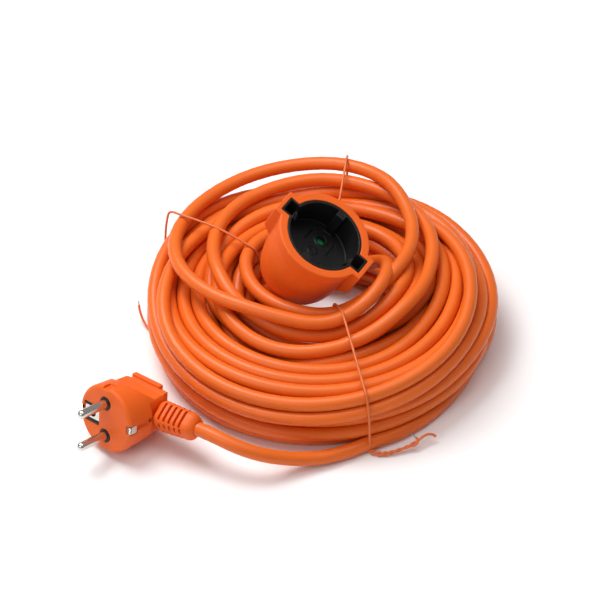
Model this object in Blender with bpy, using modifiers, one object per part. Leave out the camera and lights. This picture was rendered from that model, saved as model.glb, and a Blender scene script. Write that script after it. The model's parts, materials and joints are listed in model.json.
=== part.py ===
"""Extension cord: a coiled three-core cable with an angled earthed plug and an earthed coupler socket.

Units are metres, +Z is up and the cord lies on the plane z = 0. The coil's centre is at COIL_CENTRE.
The plug and the socket are modelled in frames of their own:
  plug:   Z along the pins, X towards the cable, Y along the line of the pins, origin in the pin face
  socket: Z out of the socket, X along the line of the earth clips, Y along the line of the pin holes,
          origin at the centre of the rim
"""
from math import atan2, cos, pi, radians, sin

import bmesh
import bpy
from mathutils import Matrix, Vector

MM = 0.001
GAP = 0.3 * MM                      # clearance between neighbouring pieces

# Cable and coil
CABLE_DIAMETER = 7.6 * MM
COIL_CENTRE = Vector((16.4, 6.4, 0.0)) * MM
COIL_MIDDLE_RADIUS = 66.5 * MM      # radius of the middle of the bundle of turns
COIL_HALF_WIDTH = 28.5 * MM         # half the bundle's width, across the turns
COIL_LEVEL = 20.0 * MM              # height of the bundle's widest place
COIL_HALF_HEIGHT = 26.0 * MM        # the underside is flattened at z = 0
COIL_SQUARENESS = 2.5               # superellipse power of the bundle's section
COIL_UNDERCUT = 0.45                # how fast the hole widens below UNDERCUT_LEVEL
UNDERCUT_LEVEL = 28.0 * MM
COIL_SECTION_POINTS = 22
COIL_SEGMENTS = 60

# Plug
PLUG_PLACE = Vector((-113.7, -90.2, 21.2)) * MM     # centre of the pin face, from the coil's centre
PLUG_HEADING = radians(227.1)
PLUG_LIFT = radians(13.5)
PLUG_ROLL = radians(8.2)
PLUG_RADIUS = 18.8 * MM
PLUG_BACK_RADIUS = 16.9 * MM
COLLAR_DEPTH = 12.0 * MM
PLUG_DEPTH = 33.0 * MM
NECK_DEPTH = 21.5 * MM              # where the wedge-shaped body is at its thinnest
NECK_HALF = 9.8 * MM
PIN_PITCH = 19.0 * MM
PIN_RADIUS = 2.4 * MM
PIN_LENGTH = 19.0 * MM
PIN_TAIL = 14.6 * MM
EARTH_TUBE_PLACE = -10.0 * MM
PLUG_SIDE = 15.2 * MM               # the flat on the body's side that the relief stands on

# Socket
SOCKET_PLACE = Vector((0.7, -6.9, 76.0)) * MM       # centre of the rim, from the coil's centre
SOCKET_HEADING = radians(-35.6)
SOCKET_LIFT = radians(61.3)
SOCKET_ROLL = radians(-84.4)
HOUSING_RADIUS = 26.0 * MM
HOUSING_LENGTH = 50.0 * MM
INSERT_RADIUS = 21.2 * MM
WELL_RADIUS = 19.75 * MM
WELL_DEPTH = 17.5 * MM
FLOOR_THICKNESS = 3.2 * MM
EAR_REACH = 26.3 * MM
EAR_DEPTH = 14.6 * MM
LUG_REACH = 29.0 * MM
SHUTTER_TOP = 21.0 * MM             # depths below the rim
SHUTTER_THICKNESS = 1.4 * MM
CARRIER_TOP = 23.1 * MM
CARRIER_BOTTOM = 38.0 * MM
CHAMBER_BOTTOM = 44.6 * MM
CLIP_HINGE_DEPTH = 24.4 * MM
CLIP_HINGE_REACH = 19.7 * MM

# Relief and lead at the socket, along an arc that bends from the socket's axis towards the floor
RELIEF_STRAIGHT = 5.0 * MM
RELIEF_BEND_RADIUS = 31.0 * MM
RELIEF_BEND = radians(33.0)
LEAD_BEND = radians(12.0)

# Wire ties
TIE_DIAMETER = 1.4 * MM
TIE_GROOVE = 2.4 * MM
TIE_SPACING = 6.0 * MM              # between the points along the wire


def new_material(name, colour, roughness, metallic=0.0):
    material = bpy.data.materials.new(name)
    material.use_nodes = True
    shader = material.node_tree.nodes["Principled BSDF"]
    shader.inputs["Base Color"].default_value = (*colour, 1.0)
    shader.inputs["Roughness"].default_value = roughness
    shader.inputs["Metallic"].default_value = metallic
    material.diffuse_color = (*colour, 1.0)
    return material


def new_collection(name):
    collection = bpy.data.collections.new(name)
    bpy.context.scene.collection.children.link(collection)
    return collection


for old in list(bpy.data.objects):
    bpy.data.objects.remove(old)
PARTS = new_collection("extension_cord")
TOOLS = new_collection("cutters")

ORANGE = new_material("orange_pvc", (0.83, 0.17, 0.02), 0.42)
CABLE = new_material("orange_cable", (0.86, 0.19, 0.03), 0.35)
BLACK = new_material("black_polyamide", (0.012, 0.012, 0.013), 0.4)
GREEN = new_material("green_shutter", (0.02, 0.42, 0.16), 0.45)
NICKEL = new_material("nickel_plate", (0.72, 0.69, 0.63), 0.22, 1.0)
BRASS = new_material("brass", (0.78, 0.57, 0.24), 0.3, 1.0)
STEEL = new_material("spring_steel", (0.6, 0.6, 0.6), 0.3, 1.0)
BROWN = new_material("brown_core", (0.13, 0.05, 0.02), 0.5)
BLUE = new_material("blue_core", (0.02, 0.1, 0.45), 0.5)
EARTH_GREEN = new_material("green_yellow_core", (0.3, 0.45, 0.03), 0.5)
TIE_ORANGE = new_material("orange_tie_wire", (0.84, 0.22, 0.05), 0.4)


def directions(heading, lift, roll):
    """A part frame's X, Y and Z: Z points at a heading and a lift, and X is rolled up from the level."""
    forward = Vector((cos(lift) * cos(heading), cos(lift) * sin(heading), sin(lift)))
    level = Vector((0, 0, 1)).cross(forward).normalized()
    side = cos(roll) * level + sin(roll) * forward.cross(level)
    return side, forward.cross(side), forward


def new_frame(name, origin, heading, lift, roll):
    frame = bpy.data.objects.new(name, None)
    turn = Matrix(directions(heading, lift, roll)).transposed().to_4x4()
    frame.matrix_world = Matrix.Translation(origin) @ turn
    PARTS.objects.link(frame)
    return frame


def joint_axis(name, frame, location):
    """An empty on a joint's axis, to carry the piece that moves."""
    axis = bpy.data.objects.new(name, None)
    axis.parent = frame
    axis.location = location
    PARTS.objects.link(axis)
    return axis


def place(name, data, material, parent=None, location=(0, 0, 0)):
    piece = bpy.data.objects.new(name, data)
    data.materials.append(material)
    piece.parent = parent
    piece.location = location
    PARTS.objects.link(piece)
    return piece


def as_tool(piece):
    PARTS.objects.unlink(piece)
    TOOLS.objects.link(piece)
    piece.hide_render = True
    piece.display_type = "WIRE"
    return piece


def boolean(piece, tool, operation):
    step = piece.modifiers.new(operation.lower(), "BOOLEAN")
    step.operation = operation
    step.object = as_tool(tool)


def cut(piece, tool):
    boolean(piece, tool, "DIFFERENCE")


def join(piece, tool):
    boolean(piece, tool, "UNION")


def bevel(piece, width, segments=2, angle=40):
    step = piece.modifiers.new("bevel", "BEVEL")
    step.width = width
    step.segments = segments
    step.limit_method = "ANGLE"
    step.angle_limit = radians(angle)


def turned(name, profile, material, parent=None, location=(0, 0, 0), closed=False, segments=40):
    """Turn a profile of (radius, height) points, listed from top to bottom, about Z."""
    mesh = bpy.data.meshes.new(name)
    count = len(profile)
    edges = [(i, i + 1) for i in range(count - 1)] + ([(count - 1, 0)] if closed else [])
    mesh.from_pydata([(r, 0, z) for r, z in profile], edges, [])
    piece = place(name, mesh, material, parent, location)
    screw = piece.modifiers.new("turn", "SCREW")
    screw.steps = segments
    screw.render_steps = segments
    screw.use_merge_vertices = True
    screw.merge_threshold = 0.00001
    screw.use_smooth_shade = True
    return piece


def cylinder(name, radius, top, bottom, material, parent=None, centre=(0, 0), segments=24):
    mesh = bpy.data.meshes.new(name)
    body = bmesh.new()
    bmesh.ops.create_cone(body, cap_ends=True, segments=segments, radius1=radius, radius2=radius,
                          depth=top - bottom)
    bmesh.ops.translate(body, verts=body.verts, vec=(centre[0], centre[1], (top + bottom) / 2))
    body.to_mesh(mesh)
    body.free()
    return place(name, mesh, material, parent)


def box(name, low, high, material, parent=None):
    mesh = bpy.data.meshes.new(name)
    body = bmesh.new()
    bmesh.ops.create_cube(body, size=1.0)
    low, high = Vector(low), Vector(high)
    bmesh.ops.scale(body, verts=body.verts, vec=high - low)
    bmesh.ops.translate(body, verts=body.verts, vec=(low + high) / 2)
    body.to_mesh(mesh)
    body.free()
    return place(name, mesh, material, parent)


def sheet_metal(name, outlines, half_width, material, parent, rotation=(0, 0, 0), location=(0, 0, 0)):
    """Flat outlines in the curve's XY plane, given a thickness along its Z; an inner outline is a hole."""
    curve = bpy.data.curves.new(name, "CURVE")
    curve.dimensions = "2D"
    curve.fill_mode = "BOTH"
    curve.extrude = half_width
    for outline in outlines:
        spline = curve.splines.new("POLY")
        spline.points.add(len(outline) - 1)
        for point, (x, y) in zip(spline.points, outline):
            point.co = (x, y, 0, 1)
        spline.use_cyclic_u = True
    piece = place(name, curve, material, parent, location)
    piece.rotation_euler = rotation
    return piece


def strip(points, thickness):
    """The outline of a bent strip: its centre line moved half a thickness to each side."""
    left, right = [], []
    for i, point in enumerate(points):
        before = points[max(i - 1, 0)]
        after = points[min(i + 1, len(points) - 1)]
        ahead = (Vector(after) - Vector(before)).normalized()
        side = Vector((-ahead.y, ahead.x)) * thickness / 2
        left.append(Vector(point) + side)
        right.append(Vector(point) - side)
    return left + right[::-1]


def rod(name, points, diameter, material, parent=None, resolution=2, taper=None, cyclic=False):
    """A round wire, core, cable or relief along points; taper gives each point's share of the radius."""
    curve = bpy.data.curves.new(name, "CURVE")
    curve.dimensions = "3D"
    curve.bevel_depth = diameter / 2
    curve.bevel_resolution = resolution
    curve.use_fill_caps = not cyclic
    spline = curve.splines.new("POLY")
    spline.points.add(len(points) - 1)
    for i, point in enumerate(points):
        spline.points[i].co = (*point, 1)
        if taper:
            spline.points[i].radius = taper[i]
    spline.use_cyclic_u = cyclic
    return place(name, curve, material, parent)


def smooth_route(points, spacing):
    """Points about a spacing apart on a Catmull-Rom curve through the route's own points."""
    points = [Vector(p) for p in points]
    ends = [2 * points[0] - points[1]] + points + [2 * points[-1] - points[-2]]
    route = []
    for a, b, c, d in zip(ends, ends[1:], ends[2:], ends[3:]):
        steps = max(1, round((c - b).length / spacing))
        for k in range(steps):
            t = k / steps
            route.append(0.5 * (2 * b + (c - a) * t + (2 * a - 5 * b + 4 * c - d) * t ** 2
                                + (3 * b - a - 3 * c + d) * t ** 3))
    return route + [points[-1]]


def to_plug(x, y, z):
    side, up, out = directions(PLUG_HEADING, PLUG_LIFT, PLUG_ROLL)
    return COIL_CENTRE + PLUG_PLACE + x * side + y * up + z * out


# ---------------------------------------------------------------- coil

def section_point(turn, grow=0.0):
    """A point (radius, height) of the bundle's section; the section is a superellipse cut off at z = 0."""
    power = 2 / COIL_SQUARENESS
    across = abs(cos(turn)) ** power * (1 if cos(turn) > 0 else -1)
    above = abs(sin(turn)) ** power * (1 if sin(turn) > 0 else -1)
    radius = COIL_MIDDLE_RADIUS + (COIL_HALF_WIDTH + grow) * across
    height = COIL_LEVEL + (COIL_HALF_HEIGHT + grow) * above
    if across < 0:
        radius -= across * COIL_UNDERCUT * max(0.0, UNDERCUT_LEVEL - max(height, 0.0))
    return radius, height


def coil_profile():
    """From the top of the bundle down its outer side, along the flat underside and up its inner side."""
    half = COIL_SECTION_POINTS // 2
    outer = [section_point(pi / 2 - i * pi / COIL_SECTION_POINTS * 2) for i in range(half)]
    side = [p for p in outer if p[1] > 1.5 * MM]
    under = [(COIL_MIDDLE_RADIUS + across, 0.0) for across in (20 * MM, 0.0, -10 * MM)]
    inner = [section_point(pi / 2 + i * pi / COIL_SECTION_POINTS * 2) for i in range(1, half)]
    return side + under + [p for p in inner if p[1] > 1.5 * MM][::-1]


TIE_ANGLES = {"tie_front": radians(-70), "tie_left": radians(138), "tie_back": radians(80)}


def make_coil():
    coil = turned("cable_coil", coil_profile(), CABLE, None, COIL_CENTRE, True, COIL_SEGMENTS)
    for name, angle in TIE_ANGLES.items():
        groove = box(name + "_groove", (COIL_MIDDLE_RADIUS - 60 * MM, -2.6 * MM, -5 * MM),
                     (COIL_MIDDLE_RADIUS + 60 * MM, 2.6 * MM, TIE_GROOVE), CABLE)
        groove.location = COIL_CENTRE
        groove.rotation_euler = (0, 0, angle)
        cut(coil, groove)
    return coil


# ---------------------------------------------------------------- ties

def tie_route(angle, tail):
    """A free tail, then once round the bundle from the foot of its outer side."""
    grow = GAP + TIE_DIAMETER / 2 + 1.0 * MM
    steps = 22
    start = -0.30 * pi
    route = []
    for i in range(steps + 1):
        turn = start + 2 * pi * 0.985 * i / steps
        radius, height = section_point(turn, grow)
        height = max(height, TIE_DIAMETER / 2 + 0.1 * MM)
        across = (1 - 2 * i / steps) * 1.0 * MM
        ahead = Vector((cos(angle), sin(angle), 0))
        left = Vector((-sin(angle), cos(angle), 0))
        route.append(COIL_CENTRE + radius * ahead + across * left + Vector((0, 0, height)))
    return smooth_route([COIL_CENTRE + Vector(p) * MM for p in tail] + route, TIE_SPACING)


def make_ties():
    tails = {
        "tie_front": [(66.0, -78.0, 9.0), (58.0, -86.0, 3.0), (46.0, -91.0, 1.0), (39.0, -93.5, 1.0)],
        "tie_left": [(-101.0, -14.0, 15.0), (-101.5, 4.0, 22.0), (-99.0, 24.0, 14.0), (-90.0, 42.0, 6.0),
                     (-81.0, 55.0, 2.5)],
        "tie_back": [(30.0, 99.0, 6.0), (24.0, 97.5, 2.5)],
    }
    for name, angle in TIE_ANGLES.items():
        rod(name, tie_route(angle, tails[name]), TIE_DIAMETER, TIE_ORANGE, resolution=1)


# ---------------------------------------------------------------- plug

def make_plug_body(frame):
    body = turned("plug_body", [(0, 0), (PLUG_RADIUS - 0.8 * MM, 0), (PLUG_RADIUS, -0.8 * MM),
                                (PLUG_RADIUS - 0.6 * MM, -COLLAR_DEPTH), (PLUG_BACK_RADIUS, -29 * MM),
                                (PLUG_BACK_RADIUS - 1 * MM, -30 * MM), (0, -30 * MM)],
                  ORANGE, frame, segments=48)
    # The wedge: full width at the collar, narrow at the neck; drawn as height against depth.
    half = [(1 * MM, 25 * MM), (-COLLAR_DEPTH, 19.4 * MM), (-NECK_DEPTH, NECK_HALF), (-35 * MM, NECK_HALF)]
    wedge = sheet_metal("wedge_outline", [half + [(z, -y) for z, y in half[::-1]]], 30 * MM, ORANGE, frame,
                        rotation=(0, -pi / 2, 0))
    boolean(body, to_mesh(wedge), "INTERSECT")
    join(body, box("back_plate", (-14 * MM, -10.4 * MM, -31.4 * MM), (14.6 * MM, 10.4 * MM, -28.2 * MM),
                   ORANGE, frame))
    join(body, box("grip_bar", (-10.5 * MM, -12.2 * MM, -PLUG_DEPTH), (9.5 * MM, 12.2 * MM, -29.9 * MM),
                   ORANGE, frame))
    for end in (1, -1):
        cut(body, box("guide_groove", (-2.7 * MM, min(end * 16.6 * MM, end * 22 * MM), -40 * MM),
                      (2.7 * MM, max(end * 16.6 * MM, end * 22 * MM), 2 * MM), ORANGE, frame))
        cut(body, cylinder("boss_hole", 4.4 * MM, 3 * MM, -5 * MM, ORANGE, frame, (0, end * PIN_PITCH / 2)))
        cut(body, box("side_groove", (min(end * 17.1 * MM, end * 22 * MM), -2.6 * MM, -16.6 * MM),
                      (max(end * 17.1 * MM, end * 22 * MM), 2.6 * MM, 2 * MM), ORANGE, frame))
        cut(body, box("fold_pocket", (min(end * 15.6 * MM, end * 22 * MM), -2.7 * MM, -2.3 * MM),
                      (max(end * 15.6 * MM, end * 22 * MM), 2.7 * MM, 3 * MM), ORANGE, frame))
    cut(body, box("plate_window", (-15.4 * MM, -5.6 * MM, -5 * MM), (-4.6 * MM, 5.6 * MM, 2 * MM),
                  ORANGE, frame))
    room = box("bridge_room", (-15.8 * MM, -13.8 * MM, -13.0 * MM), (7.3 * MM, 13.8 * MM, -3.5 * MM),
               ORANGE, frame)
    boolean(room, cylinder("room_round", 17.7 * MM, 5 * MM, -20 * MM, ORANGE, frame, segments=40), "INTERSECT")
    cut(body, room)
    cut(body, box("bracket_room", (-18.6 * MM, -2.61 * MM, -16.61 * MM), (18.6 * MM, 2.61 * MM, -12.5 * MM),
                  ORANGE, frame))
    cut(body, box("tail_room", (-14.2 * MM, -11.2 * MM, -18.9 * MM), (6.9 * MM, 11.2 * MM, -12.4 * MM),
                  ORANGE, frame))
    cut(body, box("bend_room", (-6.1 * MM, -9.9 * MM, -20.8 * MM), (6.8 * MM, 9.9 * MM, -16.9 * MM),
                  ORANGE, frame))
    cut(body, box("core_room", (-6 * MM, -8 * MM, -27.3 * MM), (12.2 * MM, 8 * MM, -16.8 * MM),
                  ORANGE, frame))
    cut(body, box("cable_way", (12.0 * MM, -4.6 * MM, -27.31 * MM), (20 * MM, 4.6 * MM, -22.4 * MM),
                  ORANGE, frame))
    cut(body, box("relief_seat", (PLUG_SIDE, -20 * MM, -40 * MM), (30 * MM, 20 * MM, -17.3 * MM),
                  ORANGE, frame))
    return body


def to_mesh(piece):
    """The same shape as a mesh, with its loose caps welded, in place of a curve."""
    bpy.context.view_layer.update()
    seen = piece.evaluated_get(bpy.context.evaluated_depsgraph_get())
    mesh = bpy.data.meshes.new_from_object(seen)
    body = bmesh.new()
    body.from_mesh(mesh)
    bmesh.ops.remove_doubles(body, verts=body.verts, dist=0.00001)
    bmesh.ops.recalc_face_normals(body, faces=body.faces)
    body.to_mesh(mesh)
    body.free()
    name, world = piece.name, piece.matrix_world.copy()
    bpy.data.objects.remove(piece)
    solid = bpy.data.objects.new(name, mesh)
    solid.matrix_world = world
    PARTS.objects.link(solid)
    return solid


def make_pin_bridge(frame):
    bridge = box("plug_pin_bridge", (-15.4 * MM, -13.4 * MM, -12.6 * MM),
                 (6.9 * MM, 13.4 * MM, -3.9 * MM), BLACK, frame)
    boolean(bridge, cylinder("bridge_round", 17.3 * MM, 5 * MM, -20 * MM, BLACK, frame, segments=40),
            "INTERSECT")
    for end in (1, -1):
        middle = end * PIN_PITCH / 2
        join(bridge, cylinder("boss", 4.0 * MM, 0.3 * MM, -4.5 * MM, BLACK, frame, (0, middle)))
        low, high = sorted((end * 3.9 * MM, end * 5.2 * MM))
        join(bridge, box("bar", (-15.0 * MM, low, -4.5 * MM), (-5.0 * MM, high, -0.2 * MM), BLACK, frame))
        cut(bridge, cylinder("pin_hole", PIN_RADIUS + GAP, 3 * MM, -20 * MM, BLACK, frame, (0, middle)))
    cut(bridge, cylinder("tube_hole", 3.1 * MM + GAP, 3 * MM, -20 * MM, BLACK, frame, (EARTH_TUBE_PLACE, 0)))
    return bridge


def make_pin(name, frame, end):
    tip = [(0, PIN_LENGTH)]
    for k in range(1, 6):
        turn = k * pi / 10
        tip.append((PIN_RADIUS * sin(turn), PIN_LENGTH - PIN_RADIUS * (1 - cos(turn))))
    tail = [(PIN_RADIUS, -12.8 * MM), (1.7 * MM, -12.8 * MM), (1.7 * MM, -PIN_TAIL), (0, -PIN_TAIL)]
    return turned(name, tip + tail, NICKEL, frame, (0, end * PIN_PITCH / 2, 0), segments=20)


def make_plug_earth(frame):
    """The U-shaped strip with both side contacts, and the tube that takes a socket's own earth pin."""
    arm, back, fold = 17.9 * MM, -15.0 * MM, 1.5 * MM
    line = [(arm - fold, -0.9 * MM), (arm, -0.4 * MM), (arm, -3 * MM), (arm, back + 1.5 * MM),
            (arm - 1.5 * MM, back), (0, back)]
    line = line + [(-x, z) for x, z in line[-2::-1]]
    sheet_metal("plug_earth_strip", [strip(line, 0.7 * MM)], 2.1 * MM, NICKEL, frame,
                rotation=(pi / 2, 0, 0))
    plate = box("plug_earth_socket", (-14.9 * MM, -3.5 * MM, -1.6 * MM), (-5.1 * MM, 3.5 * MM, -0.7 * MM),
                NICKEL, frame)
    join(plate, cylinder("tube", 3.1 * MM, -1.0 * MM, -13.4 * MM, NICKEL, frame, (EARTH_TUBE_PLACE, 0)))
    cut(plate, cylinder("tube_bore", 2.45 * MM, 3 * MM, -12.4 * MM, NICKEL, frame, (EARTH_TUBE_PLACE, 0)))


def make_plug_cores(frame):
    """Crimps on the pins' tails and on the strip, and the three cores that run from them to the cable."""
    for name, place_at, radius, top, bottom in (
            ("plug_line_crimp", (0, 9.5 * MM), 1.45 * MM, -PIN_TAIL - GAP, -16.8 * MM),
            ("plug_neutral_crimp", (0, -9.5 * MM), 1.45 * MM, -PIN_TAIL - GAP, -16.8 * MM),
            ("plug_earth_crimp", (-3 * MM, 0), 1.2 * MM, -15.35 * MM - GAP, -18.6 * MM)):
        cylinder(name, radius, top, bottom, BRASS, frame, place_at, 12)
    colours = {"plug_line_core": (BROWN, 1), "plug_neutral_core": (BLUE, -1)}
    for name, (colour, end) in colours.items():
        route = [(0, 9.3, -17.8), (0.2, 8.7, -18.5), (1.0, 6.8, -20.0), (3.0, 4.4, -22.4),
                 (8.0, 2.6, -24.8), (12.0, 2.3, -25.2), (14.9, 2.3, -25.2)]
        route = [Vector((x, end * y, z)) * MM for x, y, z in route]
        rod(name, smooth_route(route, 2 * MM), 2.2 * MM, colour, frame)
    rod("plug_earth_core", smooth_route([(-3 * MM, 0, -19.0 * MM), (-2 * MM, 0, -21.4 * MM),
                                         (3 * MM, 0, -24.2 * MM), (9 * MM, 0, -24.8 * MM),
                                         (14.9 * MM, 0, -25.2 * MM)], 2 * MM),
        1.3 * MM, EARTH_GREEN, frame)


RELIEF_START = Vector((17.0, 0.0, -25.0)) * MM
RELIEF_ROLL = radians(-52.0)        # the section is turned about the relief's own axis
RELIEF_LEAN = radians(8.0)          # the relief leans away from the pins
RELIEF_LENGTH = 25.0 * MM


def make_plug_relief(frame):
    """A square, tapered bar with rounded edges."""
    mesh = bpy.data.meshes.new("plug_strain_relief")
    body = bmesh.new()
    bmesh.ops.create_cone(body, cap_ends=True, segments=4, radius1=7.5 * MM * 2 ** 0.5,
                          radius2=6.4 * MM * 2 ** 0.5, depth=RELIEF_LENGTH)
    bmesh.ops.rotate(body, verts=body.verts, matrix=Matrix.Rotation(pi / 4 + RELIEF_ROLL, 3, "Z"))
    bmesh.ops.translate(body, verts=body.verts, vec=(0, 0, RELIEF_LENGTH / 2))
    body.to_mesh(mesh)
    body.free()
    relief = place("plug_strain_relief", mesh, ORANGE, frame, RELIEF_START)
    relief.rotation_euler = (0, pi / 2 + RELIEF_LEAN, 0)
    bevel(relief, 3.2 * MM, 3)
    return relief


def make_plug():
    frame = new_frame("plug_frame", COIL_CENTRE + PLUG_PLACE, PLUG_HEADING, PLUG_LIFT, PLUG_ROLL)
    make_plug_body(frame)
    make_pin_bridge(frame)
    make_pin("plug_line_pin", frame, 1)
    make_pin("plug_neutral_pin", frame, -1)
    make_plug_earth(frame)
    make_plug_cores(frame)
    make_plug_relief(frame)


# The lead's own points beyond the relief, from the coil's centre, in millimetres
PLUG_LEAD_ROUTE = [(-45.0, -107.8, 18.8), (-32.0, -108.8, 14.2), (-19.0, -106.4, 9.2), (-7.0, -103.2, 5.8),
                   (3.0, -99.9, 4.3), (12.0, -96.9, 4.0), (18.6, -93.5, 4.0)]


def make_plug_lead():
    """From the relief down to the floor and along the foot of the coil to the bundle's outer side."""
    reach = RELIEF_LENGTH + GAP
    lean = Vector((cos(RELIEF_LEAN), 0, -sin(RELIEF_LEAN)))
    leaves = [RELIEF_START + lean * d for d in (reach, reach + 8 * MM)]
    route = [to_plug(*p) for p in leaves]
    route += [COIL_CENTRE + Vector(p) * MM for p in PLUG_LEAD_ROUTE]
    rod("plug_lead", smooth_route(route, 2.2 * CABLE_DIAMETER), CABLE_DIAMETER, CABLE, resolution=3)


# ---------------------------------------------------------------- socket

PROUD = 2.0 * MM                    # pieces are joined this much above the rim, then trimmed level


def level_above(name, height, frame):
    return box(name, (-40 * MM, -40 * MM, height), (40 * MM, 40 * MM, height + 10 * MM), ORANGE, frame)


def make_housing(frame):
    housing = turned("socket_housing", [(0, PROUD), (HOUSING_RADIUS, PROUD), (HOUSING_RADIUS, -0.6 * MM),
                                        (24.9 * MM, -8 * MM), (24.4 * MM, -20 * MM),
                                        (23.4 * MM, -29 * MM), (21.9 * MM, -37 * MM),
                                        (20.4 * MM, -41 * MM), (17.6 * MM, -44.8 * MM),
                                        (13.2 * MM, -48 * MM), (9.6 * MM, -HOUSING_LENGTH),
                                        (0, -HOUSING_LENGTH)],
                     ORANGE, frame, segments=56)
    for end in (1, -1):
        low, high = sorted((end * 18 * MM, end * LUG_REACH))
        lug = box("lug", (low, -8 * MM, -21.5 * MM), (high, 8 * MM, 0.5 * PROUD), ORANGE, frame)
        boolean(lug, turned("lug_slope", [(0, 3 * MM), (30.5 * MM, 3 * MM), (30.5 * MM, -15.2 * MM),
                                          (24.0 * MM, -21.3 * MM), (0, -21.3 * MM)],
                            ORANGE, frame, segments=56), "INTERSECT")
        join(housing, lug)
        low, high = sorted((end * 17 * MM, end * (EAR_REACH + GAP)))
        cut(housing, box("ear_pocket", (low, -5.3 * MM, -EAR_DEPTH - 2 * GAP), (high, 5.3 * MM, 3 * MM),
                         ORANGE, frame))
    cut(housing, cylinder("insert_room", INSERT_RADIUS + GAP, 4 * MM, -30 * MM, ORANGE, frame, segments=56))
    cut(housing, cylinder("carrier_room", 20.6 * MM, 0, -CARRIER_BOTTOM - GAP, ORANGE, frame, segments=56))
    cut(housing, cylinder("core_room", 12.5 * MM, -35 * MM, -CHAMBER_BOTTOM, ORANGE, frame, segments=32))
    cut(housing, cylinder("cable_way", 4.5 * MM, -40 * MM, -60 * MM, ORANGE, frame, segments=20))
    cut(housing, level_above("rim_trim", 0.0, frame))
    return housing


def make_insert(frame):
    """The black cup that takes the plug: a well with two guide ribs, two pin holes and ears for the clips."""
    bottom = -WELL_DEPTH - FLOOR_THICKNESS
    insert = cylinder("socket_insert", INSERT_RADIUS, PROUD, bottom, BLACK, frame, segments=56)
    for end in (1, -1):
        low, high = sorted((end * 15 * MM, end * EAR_REACH))
        join(insert, box("ear", (low, -5 * MM, -EAR_DEPTH), (high, 5 * MM, 0.5 * PROUD),
                         BLACK, frame))
    cut(insert, cylinder("well", WELL_RADIUS, 4 * MM, -WELL_DEPTH, BLACK, frame, segments=56))
    for end in (1, -1):
        low, high = sorted((end * 16.4 * MM, end * 20.4 * MM))
        join(insert, box("guide_rib", (-2.6 * MM, low, -WELL_DEPTH - 1 * MM), (2.6 * MM, high, -0.8 * MM),
                         BLACK, frame))
        low, high = sorted((end * 16.8 * MM, end * (EAR_REACH - 1.3 * MM)))
        cut(insert, box("ear_hollow", (low, -3.7 * MM, 1.2 * MM - EAR_DEPTH), (high, 3.7 * MM, 4 * MM),
                        BLACK, frame))
        low, high = sorted((end * 16.8 * MM, end * 22 * MM))
        cut(insert, box("clip_channel", (low, -3.7 * MM, -WELL_DEPTH - 0.3 * MM), (high, 3.7 * MM, 0),
                        BLACK, frame))
        low, high = sorted((end * 17.6 * MM, end * 21.7 * MM))
        cut(insert, box("clip_slot", (low, -2.9 * MM, -30 * MM), (high, 2.9 * MM, -WELL_DEPTH + 1 * MM),
                        BLACK, frame))
        cut(insert, cylinder("pin_hole", 2.8 * MM, 0, -30 * MM, BLACK, frame, (0, end * PIN_PITCH / 2)))
    cut(insert, level_above("insert_trim", -0.2 * MM, frame))
    return insert


def make_carrier(frame):
    """The block below the shutter that holds the contacts and the shutter's pivot."""
    carrier = turned("socket_contact_carrier",
                     [(0, -20.95 * MM), (1.9 * MM, -20.95 * MM), (1.9 * MM, -25.4 * MM),
                      (4.3 * MM, -25.4 * MM), (4.3 * MM, -CARRIER_TOP), (20.9 * MM, -CARRIER_TOP),
                      (20.9 * MM, -29.5 * MM), (20.0 * MM, -29.5 * MM), (20.0 * MM, -CARRIER_BOTTOM),
                      (0, -CARRIER_BOTTOM)], BLACK, frame, segments=48)
    for end in (1, -1):
        low, high = sorted((end * 6.3 * MM, end * 12.7 * MM))
        cut(carrier, box("contact_pocket", (-3.3 * MM, low, -36.6 * MM), (3.3 * MM, high, -10 * MM),
                         BLACK, frame))
        cut(carrier, cylinder("core_hole", 1.9 * MM, -30 * MM, -50 * MM, BLACK, frame, (0, end * 9.5 * MM),
                              16))
        low, high = sorted((end * 17.2 * MM, end * 24 * MM))
        cut(carrier, box("bracket_notch", (low, -2.9 * MM, -50 * MM), (high, 2.9 * MM, -10 * MM),
                         BLACK, frame))
    cut(carrier, box("bracket_groove", (-24 * MM, -2.901 * MM, -50 * MM), (24 * MM, 2.901 * MM, -36.1 * MM),
                     BLACK, frame))
    return carrier


def stadium(half_length, half_width, steps=10):
    """An outline with two straight sides along Y and round ends."""
    reach = half_length - half_width
    outline = []
    for end, start in ((1, 0.0), (-1, pi)):
        for k in range(steps + 1):
            turn = start + pi * k / steps
            outline.append((half_width * cos(turn), end * reach + half_width * sin(turn)))
    return outline


def make_shutter(frame):
    axis = joint_axis("shutter_axis", frame, (0, 0, -SHUTTER_TOP - SHUTTER_THICKNESS / 2))
    hole = [(2.2 * MM * cos(2 * pi * k / 16), 2.2 * MM * sin(2 * pi * k / 16)) for k in range(16)]
    sheet_metal("socket_shutter", [stadium(13.1 * MM, 3.6 * MM), hole], SHUTTER_THICKNESS / 2, GREEN, axis)
    turns, height, radius = 2.5, 1.6 * MM, 3.1 * MM
    count = round(turns * 12)
    coil = []
    for k in range(count + 1):
        turn = 2 * pi * turns * k / count
        coil.append((radius * cos(turn), radius * sin(turn), -25.0 * MM + height * k / count))
    rod("socket_shutter_spring", coil, 0.5 * MM, STEEL, frame, resolution=1)


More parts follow.
